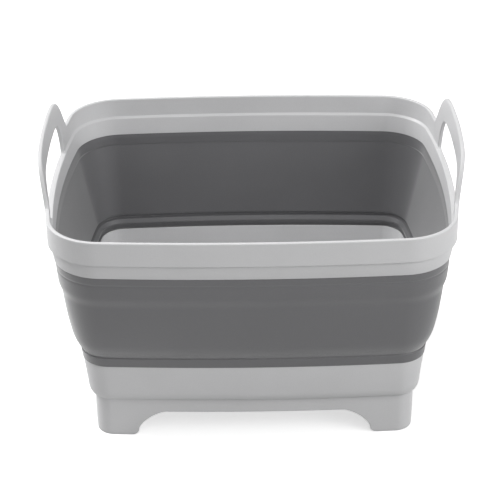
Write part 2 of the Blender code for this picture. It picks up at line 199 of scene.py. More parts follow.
class DrainSizes(PropertyGroup):
    """The sunk drain, its plug and the plug's seal ring."""
    seat: length("Seat", 37.4 * MM, "Height of the sunk seat")
    foot: length("Foot", 28.8 * MM, "Height of the drain's lower end")
    seat_radius: length("Seat radius", 22.5 * MM, "Radius of the sunk seat")
    bore: length("Bore", 17.0 * MM, "Radius of the drain's bore")
    boss: length("Boss", 25.0 * MM, "Outer radius of the drain")
    bar_width: length("Bar width", 2.6 * MM, "Width of the drain's cross bars")
    bar_height: length("Bar height", 1.8 * MM, "Height of the drain's cross bars")
    plug: length("Plug", NODE_BOX["drain_plug"][1].x, "Radius of the plug's head")
    head_bottom: length("Head", 37.7 * MM, "Height of the head's underside")
    head_top: length("Head top", 40.4 * MM, "Height of the head's upper face")
    stem: length("Stem", 13.5 * MM, "Radius of the plug's stem")
    lip: length("Lip", 1.5 * MM, "How far the stem's lip stands out")
    lip_height: length("Lip height", 1.7 * MM, "Height of the stem's lip")
    grip_length: length("Grip length", 30 * MM, "Finger grip from end to end")
    grip_height: length("Grip height", 11 * MM, "Finger grip above the head")
    grip_thickness: length("Grip thickness", 5 * MM, "Finger grip across")
    seal: length("Seal", NODE_BOX["plug_seal"][1].x, "Outer radius of the seal ring")


class Finishes(PropertyGroup):
    """Colours and grain sizes of the two plastics."""
    pale: colour("Polypropylene", "#DCDCDD", "Colour of the rigid mouldings")
    dark: colour("Rubber", "#666668", "Colour of the soft mouldings")
    pale_grain: length("Polypropylene grain", 0.9 * MM, "Grain of the mould's texture")
    dark_grain: length("Rubber grain", 0.7 * MM, "Grain of the soft surface")
    cloud: length("Cloud", 45 * MM, "Size of the faint clouds in both")


class StudioSettings(PropertyGroup):
    """Camera place and lamps."""
    distance: length("Camera distance", 1565 * MM, "Camera to the point that it looks at")
    elevation: FloatProperty(name="Camera elevation", description="Angle above the horizon",
                             default=math.radians(28.34), subtype="ANGLE")
    roll: FloatProperty(name="Camera roll", description="Turn about the line of sight",
                        default=-0.0125, subtype="ANGLE")
    lens: share("Lens", 124.74, "Focal length in millimetres")
    aim: FloatVectorProperty(name="Aim", description="Point that the camera looks at",
                             default=(-2.1 * MM, 0.0, 120 * MM), subtype="XYZ", unit="LENGTH")
    top_light: share("Top light", 1.5, "Strength of the lamp above")
    left_light: share("Left light", 33.0, "Strength of the lamp on the left")
    right_light: share("Right light", 15.0, "Strength of the lamp on the right")
    front_light: share("Front light", 7.5, "Strength of the lamp over the camera")
    glow: share("Floor glow", 0.6, "White that the floor shows the camera")
    bounce: share("Floor bounce", 0.38, "Share of light that the floor throws back up")
    sky: share("Sky", 0.23, "Brightness of the room's even light")


class BasinSettings(PropertyGroup):
    """All the sizes and finishes of the basin."""
    outline: PointerProperty(type=OutlineSizes, name="Outline", description="The rim's outline")
    rim: PointerProperty(type=RimSizes, name="Rim", description="The rim and its handles")
    wall: PointerProperty(type=WallSizes, name="Wall", description="The soft wall")
    tray: PointerProperty(type=TraySizes, name="Tray", description="The tray and its feet")
    drain: PointerProperty(type=DrainSizes, name="Drain", description="The drain and its plug")
    finish: PointerProperty(type=Finishes, name="Finishes", description="Colours and grain")
    studio: PointerProperty(type=StudioSettings, name="Studio", description="Camera and lamps")


class Outline:
    """The basin's outline: four long arcs whose corners are arcs too, moved inwards by any inset.

    A place on it is the run along it from the middle of the +X side, anticlockwise, measured at one inset.
    A quarter holds part of a short side's arc, a corner and part of a long side's arc, and the other
    quarters mirror it. Moving inwards takes the inset off each radius and keeps each centre.
    """

    def __init__(self, size, measured_at=0.0):
        half_length, half_width = size.length / 2, size.width / 2
        long_radius = (half_length ** 2 + size.long_bow ** 2) / (2 * size.long_bow)
        short_radius = (half_width ** 2 + size.short_bow ** 2) / (2 * size.short_bow)
        long_centre = np.array([0.0, half_width - long_radius])
        short_centre = np.array([half_length - short_radius, 0.0])
        reach_long, reach_short = long_radius - size.corner, short_radius - size.corner
        span = short_centre - long_centre
        distance = np.linalg.norm(span)
        along = (reach_long ** 2 - reach_short ** 2 + distance ** 2) / (2 * distance)
        aside = math.sqrt(reach_long ** 2 - along ** 2)
        unit = span / distance
        corner = long_centre + unit * along + np.array([unit[1], -unit[0]]) * aside
        short_end = math.atan2(corner[1] - short_centre[1], corner[0] - short_centre[0])
        long_end = math.atan2(corner[1] - long_centre[1], corner[0] - long_centre[0])
        self.centre = np.array([short_centre, corner, long_centre])
        self.radius = np.array([short_radius, size.corner, long_radius])
        self.measured = self.radius - measured_at
        self.start_angle = np.array([0.0, short_end, long_end])
        turns = np.array([short_end, long_end - short_end, math.pi / 2 - long_end])
        self.ends = np.cumsum(turns * self.measured)
        self.starts = self.ends - turns * self.measured
        self.quarter = self.ends[-1]

    def point(self, run, inset):
        """X and Y of the places at the given runs and insets, which broadcast."""
        run, inset = np.broadcast_arrays(run, inset)
        turn = np.floor(run / self.quarter).astype(int) % 4
        part = run % self.quarter
        part = np.where(turn % 2 == 0, part, self.quarter - part)
        arc = np.clip(np.searchsorted(self.ends, part), 0, 2)
        angle = self.start_angle[arc] + (part - self.starts[arc]) / self.measured[arc]
        radius = self.radius[arc] - inset
        x = self.centre[arc, 0] + radius * np.cos(angle)
        y = self.centre[arc, 1] + radius * np.sin(angle)
        return np.where((turn == 1) | (turn == 2), -x, x), np.where(turn >= 2, -y, y)

    def across(self, run):
        """Signed run from the middle of the nearest short side."""
        return (run + self.quarter) % (2 * self.quarter) - self.quarter

    def columns(self, quarter_runs):
        """Runs all the way round from the middle of the +Y side, mirrored from those of one quarter."""
        half = np.concatenate([quarter_runs, (2 * self.quarter - quarter_runs)[-2::-1]])
        full = np.concatenate([half[:-1], half[:-1] + 2 * self.quarter])
        return np.sort(np.where(full < self.quarter, full + 4 * self.quarter, full))


class Skin:
    """Grids of points that are joined into one closed mesh where their edges meet."""

    def __init__(self):
        self.points, self.faces, self.count = [], [], 0

    def add(self, x, y, z):
        """Adds a grid of rows and columns whose last column joins the first one."""
        x, y, z = np.broadcast_arrays(x, y, z)
        rows, columns = x.shape
        index = np.arange(rows * columns).reshape(rows, columns) + self.count
        after = np.roll(index, -1, axis=1)
        quads = np.stack([index[:-1], after[:-1], after[1:], index[1:]], axis=-1)
        self.points.append(np.stack([x, y, z], axis=-1).reshape(-1, 3))
        self.faces.append(quads.reshape(-1, 4))
        self.count += rows * columns

    def piece(self, name, finish, body, slot, *replaced):
        """Welds the grids, turns the faces outwards and puts the piece into the scene on its body."""
        mesh = bpy.data.meshes.new(name)
        mesh.from_pydata(np.vstack(self.points).tolist(), [], np.vstack(self.faces).tolist())
        work = bmesh.new()
        work.from_mesh(mesh)
        bmesh.ops.remove_doubles(work, verts=work.verts, dist=1e-6)
        bmesh.ops.dissolve_degenerate(work, edges=work.edges, dist=1e-7)
        loose = [v for v in work.verts if not v.link_faces]
        bmesh.ops.delete(work, geom=loose, context="VERTS")
        bmesh.ops.recalc_face_normals(work, faces=work.faces)
        open_edges = sum(not edge.is_manifold for edge in work.edges)
        work.to_mesh(mesh)
        work.free()
        if open_edges:
            raise RuntimeError(f"{name} has {open_edges} open edges")
        mesh.shade_smooth()
        mesh.materials.append(finish)
        made = bpy.data.objects.new(name, mesh)
        bpy.context.scene.collection.objects.link(made)
        if body:
            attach(made, body)
        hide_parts(*replaced)
        return made


def smooth_step(value):
    """0 below 0, 1 above 1, and 3v^2 - 2v^3 between."""
    value = np.clip(value, 0.0, 1.0)
    return value * value * (3 - 2 * value)


def spread(start, stop, count, bunch="even"):
    """Values from start to stop, evenly or bunched up by a sine at the start or the stop."""
    turn = np.linspace(0.0, 1.0, count)
    angle = math.pi / 2 * turn
    shares = {"even": turn, "stop": np.sin(angle), "start": 1 - np.cos(angle)}[bunch]
    return start + (stop - start) * shares


def runs(*stretches):
    """One rising list of runs from several stretches that share their ends."""
    return np.unique(np.round(np.concatenate(stretches), 7))


def rounded(corners, steps=5):
    """A section line through (inset, height, radius) corners, each rounded by a tangent arc.

    The arc starts and ends radius * tan(half the turn) from the corner, and its points are the corner's
    neighbours on both edges, blended by a rational curve of second degree, which is an exact circle.
    """
    corners = np.array(corners, float)
    places, radii = corners[:, :2], corners[1:-1, 2]
    towards = places[1:] - places[:-1]
    towards /= np.linalg.norm(towards, axis=1)[:, None]
    cosine = np.clip((towards[:-1] * towards[1:]).sum(axis=1), -1.0, 1.0)
    turn = np.arccos(cosine)
    reach = (radii * np.tan(turn / 2))[:, None]
    middle = places[1:-1]
    first, last = middle - towards[:-1] * reach, middle + towards[1:] * reach
    t = np.linspace(0.0, 1.0, steps)[None, :, None]
    weight = np.cos(turn / 2)[:, None, None]
    before, between, after = (1 - t) ** 2, 2 * weight * t * (1 - t), t ** 2
    arcs = before * first[:, None] + between * middle[:, None] + after * last[:, None]
    arcs /= before + between + after
    line = np.vstack([places[:1], arcs.reshape(-1, 2), places[-1:]])
    step = np.linalg.norm(np.diff(line, axis=0), axis=1)
    return line[np.concatenate([[True], step > 1e-7])]


def edge_round(radius, steps=5):
    """How far a quarter round reaches out over an edge, and how far it sinks in, from face to edge."""
    angle = np.linspace(0.0, math.pi / 2, steps)
    return radius * np.sin(angle), radius * (1 - np.cos(angle))


def slot_edge(across, rim, widen):
    """Lower and upper heights of the finger slot, widened all round, at the given runs.

    The sill is level and the arch is rise * (1 - |2a / length|^power). A circle joins them in each
    lower corner. Past the slot's end both heights are that of the circle's centre.
    """
    half = rim.slot_length / 2 + widen
    rise = rim.slot_rise + 2 * widen
    radius = rim.ledge_drop + widen
    sill = rim.step + rim.ledge_rise - rim.ledge_drop - widen
    steepness = half / (rim.slot_power * rise)
    lean = math.atan(steepness)
    touch = half * (1 - radius * (1 + math.sin(lean)) / rise) ** (1 / rim.slot_power)
    centre = touch - radius * math.cos(lean)
    end = centre + radius
    place = np.where(np.abs(across) > end - 1e-6, end, np.abs(across))
    round_height = np.sqrt(np.maximum(radius ** 2 - (place - centre) ** 2, 0.0))
    arch = sill + rise * (1 - np.minimum(place / half, 1.0) ** rim.slot_power)
    upper = np.where(place > touch, sill + radius + round_height, arch)
    lower = np.where(place > centre, sill + radius - round_height, sill)
    return lower, upper, end


def handle_rise(across, rim):
    """Height of the handle above the lip: rise * (1 - |2a / length|^power)^foot."""
    place = np.clip(np.abs(across) / (rim.handle_length / 2), 0.0, 1.0)
    return rim.handle_rise * (1 - place ** rim.handle_power) ** rim.leg_power


class RimShape:
    """Where a place on the rim's band lies: its run, height and inset, leaned out with the handle."""

    def __init__(self, rim, outline):
        self.rim, self.outline = rim, outline
        step, sill = rim.step, rim.step + rim.ledge_rise - rim.ledge_drop
        foot = rim.step_in + rim.taper
        middle = foot + rim.lower_thickness / 2
        edge = rim.edge / 2
        above = sill + rim.slot_rise + rim.handle_rise
        self.detail_top = sill - rim.edge - rim.groove / 4
        self.foot_top = rim.bottom + edge
        self.outside = rounded([
            (middle, rim.bottom, 0), (foot, rim.bottom, edge),
            (rim.step_in, step - 1.4 * rim.groove, edge),
            (rim.step_in + rim.groove, step - rim.groove, 0.3 * rim.groove),
            (rim.step_in + rim.groove, step - 0.3 * rim.groove, 0.2 * rim.groove),
            (0.3 * rim.groove, step, 0.3 * rim.groove),
            (0.0, step + 0.5 * rim.groove, 0.3 * rim.groove), (0.0, self.detail_top, 0),
        ])
        ledge = rim.thickness + rim.ledge
        inner_foot = foot + rim.lower_thickness
        self.inside = rounded([
            (middle, rim.bottom, 0), (inner_foot, rim.bottom, edge), (ledge, sill, edge),
            (rim.thickness, sill + rim.ledge_drop, 1.6 * edge), (rim.thickness, above, 0),
        ])

    def outer_inset(self, height):
        """Inset of the outer face above the step, where it is the outline itself."""
        return 0 * height

    def inner_inset(self, height):
        """Inset of the inner face at a height above the bottom's rounding."""
        rising = self.inside[self.inside[:, 1] > self.foot_top]
        return np.interp(height, rising[:, 1], rising[:, 0])

    def place(self, run, height, inset):
        """X, Y and Z. The handle leans out by flare * rise share * height share^power."""
        rise = handle_rise(self.outline.across(run), self.rim)
        span = self.rim.top + rise - self.rim.step
        share = np.clip((height - self.rim.step) / span, 0.0, 1.0)
        lean = self.rim.flare * rise / self.rim.handle_rise * share ** self.rim.lean_power
        x, y = self.outline.point(run, inset)
        return x + np.sign(x) * lean, y, height


def loop_steps(values, whole_turn=0.0):
    """Difference between each value's two neighbours round a loop, which may rise by a whole turn."""
    step = np.roll(values, -1) - np.roll(values, 1)
    step[0] += whole_turn
    step[-1] += whole_turn
    return step


def build_rim(settings, finish):
    """Rim with both handles: outer and inner sheets with a slot open in each, and rounded edge strips."""
    rim = settings.rim
    outline = Outline(settings.outline)
    shape = RimShape(rim, outline)
    end = slot_edge(0.0, rim, rim.edge)[2]
    handle_end = rim.handle_length / 2
    run = outline.columns(runs(
        spread(0.0, end, 50, "stop"),
        spread(end, handle_end, 22),
        spread(handle_end, outline.ends[0], 6),
        spread(outline.ends[0], outline.ends[1], 25),
        spread(outline.ends[1], outline.ends[2], 16),
    ))
    lower, upper, _ = slot_edge(outline.across(run), rim, rim.edge)
    rise = handle_rise(outline.across(run), rim)
    slope = np.gradient(rise, run)
    slant = np.sqrt(1 + slope ** 2)
    sheet_top = rim.top + rise - rim.edge * slant
    wide = np.zeros_like(run)

    skin = Skin()
    start = shape.detail_top
    for line, inset in ((shape.outside, shape.outer_inset), (shape.inside, shape.inner_inset)):
        fixed = np.vstack([line[line[:, 1] < start - 1e-7], [[inset(start), start]]])
        skin.add(*shape.place(run, fixed[:, 1:] + wide, fixed[:, :1] + wide))
        ledge = shape.inside[(shape.inside[:, 1] > start) & (shape.inside[:, 1] < lower.max() - 1e-7), 1]
        shares = np.concatenate([[0.0], (ledge - start) / (lower.max() - start), [1.0]])
        height = start + shares[:, None] * (lower - start)
        skin.add(*shape.place(run, height, inset(height)))
        height = upper + SHEET_SHARES[:, None] * (sheet_top - upper)
        skin.add(*shape.place(run, height, inset(height)))

    out, sink = edge_round(rim.edge)
    out = np.concatenate([out, out[::-1]])[:, None]
    lip_in = np.concatenate([sink, rim.thickness - sink[::-1]])[:, None]
    skin.add(*shape.place(run - slope / slant * out, sheet_top + out / slant, lip_in + wide))
    for middle in (2 * outline.quarter, 4 * outline.quarter):
        inside = np.flatnonzero(np.abs(run - middle) <= end + 1e-6)
        loop_run = np.concatenate([run[inside], run[inside][-2:0:-1]])
        loop_height = np.concatenate([lower[inside], upper[inside][-2:0:-1]])
        run_step, height_step = loop_steps(loop_run), loop_steps(loop_height)
        size = np.hypot(run_step, height_step)
        inner = shape.inner_inset(loop_height)
        inset = np.concatenate([sink[:, None] + 0 * inner, inner - sink[::-1, None]])
        along, up = loop_run - height_step / size * out, loop_height + run_step / size * out
        skin.add(*shape.place(along, up, inset))
    return skin.piece("rim_with_handles", finish, "rim", "rim", "rim_frame")


def bump(value):
    """A smooth hump of height 1 and half width 1: exp(-v^2)."""
    return np.exp(-value ** 2)


def panel_inset(height, wall):
    """Inset of the soft wall's plain course: top inset + taper * s + tuck * s^power, s from top to foot."""
    s = np.clip((wall.top - height) / (wall.top - wall.foot), 0.0, 1.0)
    return wall.top_inset + wall.taper * s + wall.tuck * s ** wall.tuck_power


def wall_outside(wall):
    """Insets and heights of the soft wall's outer face, upwards.

    Smooth steps add the fold line and the cuff's ledge to the plain course, and a hump the faint line.
    """
    near, at_edge, at_ledge = 3 * MM, 0.05 * MM, 0.4 * MM
    height = np.concatenate(
        [spread(wall.bottom, wall.top, 70), [wall.bottom + at_edge, wall.top - at_edge]]
        + [spread(place - near, place + near, 17) for place in (wall.fold, wall.hint, wall.foot)]
        + [spread(wall.foot - at_ledge, wall.foot + at_ledge, 9)]
    )
    height = np.unique(np.round(np.clip(height, wall.bottom, wall.top), 6))
    past_fold = smooth_step((wall.fold - height) / wall.fold_reach + 0.5)
    panel = panel_inset(height, wall) + wall.fold_in * past_fold
    panel += wall.hint_in * bump((height - wall.hint) / MM)
    panel += wall.foot_in * np.clip((wall.foot + wall.foot_reach - height) / wall.foot_reach, 0.0, 1.0) ** 2
    below = (wall.foot - height) / (wall.foot - wall.bottom)
    on_cuff = smooth_step((wall.foot - height) / wall.ledge_reach + 0.5)
    return np.c_[panel * (1 - on_cuff) + (wall.cuff_inset + wall.cuff_taper * below) * on_cuff, height]


def wall_inside(wall, tray):
    """Insets and heights of the soft wall's inner face, upwards.

    It is a line of rounded corners: the foot behind the tray's lip, both creases with the roll between
    them, the straight panel, the notch and the band, which steepens a little under the rim.
    """
    small = 0.35 * MM
    row_gap = 1.2 * MM
    foot = tray.lip_inset - 0.1 * MM
    under_rim = wall.top_inset + wall.skin
    line = rounded([
        (foot, wall.bottom, 0), (foot, tray.lip - 0.3 * MM, small),
        (wall.low_floor, tray.lip + 0.2 * MM, small),
        (wall.low_floor + 0.4 * MM, wall.roll_foot - 0.2 * MM, small),
        (wall.roll_foot_in, wall.roll_foot, 2 * small),
        (wall.roll_in, wall.roll, 2 * small), (wall.crease_floor, wall.roll + 0.7 * MM, small),
        (wall.crease_floor, wall.bead - 0.2 * MM, small), (wall.bead_in, wall.bead, small),
        (wall.notch_in + 1.2 * MM, wall.notch - 5.4 * MM, 8 * MM), (wall.notch_in, wall.notch, small),
        (wall.notch_in + 0.6 * MM, wall.notch + 1.5 * MM, small),
        (under_rim + 0.6 * MM, wall.notch + 8 * MM, 20 * MM), (under_rim, wall.top, 0),
    ])
    run = np.concatenate([[0.0], np.cumsum(np.hypot(*np.diff(line, axis=0).T))])
    place = np.unique(np.round(np.concatenate([run, np.arange(0.0, run[-1], row_gap)]), 7))
    return np.c_[np.interp(place, run, line[:, 0]), np.interp(place, run, line[:, 1])]


def build_wall(settings, finish):
    """The soft wall as one closed sleeve between tray and rim, in its open shape; the real wall bends there
    as the basin is pushed flat.
    """
    wall = settings.wall
    outline = Outline(settings.outline)
    run = outline.columns(runs(
        spread(0.0, outline.ends[0], 18),
        spread(outline.ends[0], outline.ends[1], 25),
        spread(outline.ends[1], outline.ends[2], 18),
    ))
    outside, inside = wall_outside(wall), wall_inside(wall, settings.tray)
    wide = np.zeros_like(run)
    skin = Skin()
    for line in (outside, inside, np.array([outside[0], inside[0]]), np.array([outside[-1], inside[-1]])):
        skin.add(*outline.point(run, line[:, :1]), line[:, 1:] + wide)
    made = skin.piece("soft_wall", finish, None, "soft_wall",
                      "wall_top_band", "wall_fold_panel", "wall_bottom_cuff")
    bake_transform(made)
    return made


def arch_edge(place, half_gap, tray):
    """Height of the foot ring's lower edge at a run from a side's middle, raised by the edge radius.

    The arch comes down by height * (1 - t^power)^(1 / power) over its shoulder, and a circle rounds
    the foot's lower corner.
    """
    radius, lift = tray.foot_corner, tray.edge
    t = np.clip((place - half_gap + tray.arch_shoulder) / (tray.arch_shoulder + lift), 0.0, 1.0)
    arch = radius + (tray.arch_height + lift - radius) * (1 - t ** tray.arch_power) ** (1 / tray.arch_power)
    beside = np.clip(half_gap + radius - place, 0.0, radius - lift)
    corner = radius - np.sqrt((radius - lift) ** 2 - beside ** 2)
    return np.where(place <= half_gap + lift, arch, corner)


def quarter_ellipse(inset, height, depth, rise, steps=9):
    """Insets and heights from a wall down to a floor: depth * (1 - cos) inwards, rise * (1 - sin) up."""
    angle = np.linspace(0.0, math.pi / 2, steps)
    return np.c_[inset + depth * (1 - np.cos(angle)), height + rise * (1 - np.sin(angle))]


def circle_rows(angle, line):
    """Points of a turned section line of (radius, height) at the given angles."""
    return line[:, :1] * np.cos(angle), line[:, :1] * np.sin(angle), line[:, 1:] + 0 * angle


def flat_rows(inner_xy, outer_xy, height):
    """A level sheet between two loops, with rows close to both so that only its edges shade round."""
    shares = FLAT_SHARES[:, None]
    x = inner_xy[0] + shares * (outer_xy[0] - inner_xy[0])
    y = inner_xy[1] + shares * (outer_xy[1] - inner_xy[1])
    return x, y, height + 0 * x


def build_tray(settings, finish):
    """The tray: wall, floor, sunk drain, underside and foot ring in one closed skin, and the drain bars."""
    tray, drain = settings.tray, settings.drain
    outline = Outline(settings.outline, measured_at=tray.foot_inset)
    radius, lift, quarter = tray.foot_corner, tray.edge, outline.quarter
    short_end, long_end = tray.short_arch, quarter - tray.long_arch
    run = outline.columns(runs(
        spread(0.0, short_end - tray.arch_shoulder, 9),
        spread(short_end - tray.arch_shoulder, short_end + lift, 20, "stop"),
        spread(short_end + lift, short_end + radius, 9, "start"),
        spread(short_end + radius, outline.ends[0], 6),
        spread(outline.ends[0], outline.ends[1], 19),
        spread(outline.ends[1], long_end - radius, 5),
        spread(long_end - radius, long_end - lift, 9, "stop"),
        spread(long_end - lift, long_end + tray.arch_shoulder, 20, "start"),
        spread(long_end + tray.arch_shoulder, quarter, 13),
    ))
    wide = np.zeros_like(run)
    across = np.abs(outline.across(run))
    lower = arch_edge(across, tray.short_arch, tray)
    lower = np.maximum(lower, arch_edge(quarter - across, tray.long_arch, tray))

    wall_foot = tray.top_inset + tray.taper
    outer_round = quarter_ellipse(wall_foot, tray.bottom, tray.round_depth, tray.round_height)
    inner_round = quarter_ellipse(wall_foot + tray.wall, tray.floor, tray.floor_depth, tray.floor_height)
    foot_in = tray.foot_inset + tray.foot_wall
    small = tray.edge / 2
    root = tray.arch_height + (tray.bottom - tray.arch_height) / 2
    outside = np.vstack([
        rounded([
            (tray.foot_inset, root, 0), (tray.foot_inset, tray.bottom, small), (*outer_round[-1], 0),
        ])[:-1],
        outer_round[::-1],
    ])
    over = rounded([
        (*outer_round[0], 0), (tray.top_inset, tray.top, small), (tray.lip_inset, tray.top, 0),
        (tray.lip_inset, tray.lip, 0.3 * tray.lip_wall),
        (tray.lip_inset + tray.lip_wall, tray.lip, 0.5 * tray.lip_wall), (*inner_round[0], 0),
    ])
    under = rounded([(foot_in + lift, tray.bottom, 0), (foot_in, tray.bottom, small), (foot_in, root, 0)])
    drain_line = rounded([
        (drain.seat_radius + lift, tray.floor, 0), (drain.seat_radius, tray.floor, small),
        (drain.seat_radius, drain.seat, small), (drain.bore, drain.seat, small),
        (drain.bore, drain.foot, small), (drain.boss, drain.foot, lift),
        (drain.boss, tray.bottom, small), (drain.boss + lift, tray.bottom, 0),
    ])

    skin = Skin()
    for line in (outside, over, inner_round, under):
        skin.add(*outline.point(run, line[:, :1]), line[:, 1:] + wide)
    side_x, side_y = outline.point(run, tray.foot_inset)
    angle = np.arctan2(side_y, side_x)
    skin.add(*circle_rows(angle, drain_line))
    floor_rim = outline.point(run, inner_round[-1, 0])
    drain_rim = circle_rows(angle, drain_line[:1])
    skin.add(*flat_rows([v.ravel() for v in drain_rim[:2]], floor_rim, tray.floor))
    boss_rim = circle_rows(angle, drain_line[-1:])
    skin.add(*flat_rows([v.ravel() for v in boss_rim[:2]], outline.point(run, under[0, 0]), tray.bottom))
    foot_height = root + FOOT_SHARES[:, None] * (lower - root)
    for inset in (tray.foot_inset, foot_in):
        skin.add(*outline.point(run, inset + 0 * foot_height), foot_height)
    run_step, height_step = loop_steps(run, 4 * quarter), loop_steps(lower)
    size = np.hypot(run_step, height_step)
    out, sink = edge_round(lift)
    out = np.concatenate([out, out[::-1]])[:, None]
    inset = np.concatenate([tray.foot_inset + sink, foot_in - sink[::-1]])[:, None]
    skin.add(*outline.point(run + height_step / size * out, inset + wide), lower - run_step / size * out)

    phi = np.linspace(0.0, 2 * math.pi, 24, endpoint=False)
    level = drain.foot + drain.bar_height / 2
    reach = drain.bore + small * 2
    along = np.array([-reach, -reach, reach, reach])[:, None] + 0 * phi
    wide_share = np.array([0.0, 1.0, 1.0, 0.0])[:, None]
    side = wide_share * drain.bar_width / 2 * squarish(np.cos(phi))
    up = level + wide_share * drain.bar_height / 2 * squarish(np.sin(phi))
    skin.add(along, side, up)
    skin.add(side, along, up)
    return skin.piece("tray_with_feet", finish, "base", "tray", "base_tray")


def squarish(value):
    """Swells a sine or cosine so that it draws a rounded square: sign * |v|^0.4."""
    return np.sign(value) * np.abs(value) ** 0.4


def build_plug(settings, finish):
    """The plug: a turned head, stem and lip, and a finger grip that swells into the head."""
    drain = settings.drain
    small = 0.4 * MM
    dish = 0.7 * MM
    stem_lip = drain.stem + drain.lip
    lip_top = low("drain_plug") + drain.lip_height
    line = rounded([
        (0, low("drain_plug"), 0), (stem_lip, low("drain_plug"), small), (stem_lip, lip_top, small),
        (drain.stem, lip_top, small / 2), (drain.stem, drain.head_bottom, small / 2),
        (drain.plug, drain.head_bottom, small), (drain.plug, drain.head_top, 2 * small),
        (0.86 * drain.plug, drain.head_top, small), (0.82 * drain.plug, drain.head_top - dish, small),
        (0, drain.head_top - dish, 0),
    ])
    skin = Skin()
    skin.add(*circle_rows(np.linspace(0.0, 2 * math.pi, 128, endpoint=False), line))

    root = drain.head_top - dish
    phi = np.linspace(0.0, 2 * math.pi, 64, endpoint=False)
    turn = np.linspace(0.0, math.pi / 2, 28)[:, None]
    rise = (drain.grip_height + dish) * np.sin(turn)
    swell_out, swell_height = 1.2 * MM, 0.9 * MM
    swell = swell_out * np.exp(-rise / swell_height)
    half_long = drain.grip_length / 2 * np.cos(turn) + swell
    half_thick = drain.grip_thickness / 2 * np.cos(turn) ** 0.3 + swell
    half_long[-1], half_thick[-1] = 0.0, 0.0
    x = half_long * squarish(np.cos(phi)) * (0.8 + 0.2 * np.abs(np.cos(phi)))
    y = half_thick * squarish(np.sin(phi))
    z = root + rise + 0 * phi
    foot = root - dish
    skin.add(np.vstack([0 * x[:1], x[:1], x]), np.vstack([0 * y[:1], y[:1], y]),
             np.vstack([0 * z[:1] + foot, 0 * z[:1] + foot, z]))
    return skin.piece("plug_with_grip", finish, "plug", "plug", "drain_plug")


def build_seal(settings, finish):
    """The seal ring: a turned section with two soft lips outside, joined to itself."""
    drain = settings.drain
    bottom, top = low("plug_seal"), high("plug_seal")
    inner, outer = drain.stem + 0.3 * MM, drain.seal
    middle, lip = (bottom + top) / 2, 0.5 * MM
    quarter = (top - bottom) / 4
    line = rounded([
        (inner, middle, 0), (inner, bottom, lip / 2), (outer - lip, bottom, lip / 2),
        (outer, bottom + quarter, lip), (outer - lip, middle, lip), (outer, top - quarter, lip),
        (outer - lip, top, lip / 2), (inner, top, lip / 2), (inner, middle, 0),
    ])
    skin = Skin()
    skin.add(*circle_rows(np.linspace(0.0, 2 * math.pi, 128, endpoint=False), line))
    return skin.piece("seal_ring", finish, "plug", "seal", "plug_seal")


def linear(hex_colour):
    """An sRGB hex colour as linear red, green, blue and alpha."""
    values = np.array([int(hex_colour[i:i + 2], 16) for i in (1, 3, 5)]) / 255
    values = np.where(values <= 0.04045, values / 12.92, ((values + 0.055) / 1.055) ** 2.4)
    return (*values.tolist(), 1.0)


def shade(hex_colour, factor):
    """A linear colour made lighter or darker."""
    values = linear(hex_colour)
    return (*(min(v * factor, 1.0) for v in values[:3]), 1.0)


def node(tree, kind, inputs=(), **settings):
    """Adds a node. inputs holds (name or number, value) pairs, where a socket as the value is a link."""
    made = tree.nodes.new(kind)
    for name, value in settings.items():
        setattr(made, name, value)
    for name, value in inputs:
        if isinstance(value, bpy.types.NodeSocket):
            tree.links.new(value, made.inputs[name])
        else:
            made.inputs[name].default_value = value
    return made


def remap(tree, value, target, source=(0.0, 1.0), **settings):
    """Carries a value from the source range over to the target range."""
    ends = [(1, source[0]), (2, source[1]), (3, target[0]), (4, target[1])]
    return node(tree, "ShaderNodeMapRange", [("Value", value), *ends], **settings).outputs[0]


def joined(tree, operation, first, second, kind="ShaderNodeMath"):
    """Two values joined by one operation."""
    return node(tree, kind, [(0, first), (1, second)], operation=operation).outputs[0]


# Range that a noise mostly keeps to, how far clouds change tone and gloss, height of the darkening towards
# the ground, and depth of the grain
NOISE_RANGE = (0.3, 0.7)
CLOUD_TONE = 0.045
CLOUD_GLOSS = 0.05
GROUND_DARKENING_HEIGHT = 4 * MM
GRAIN_DEPTH = 0.12 * MM


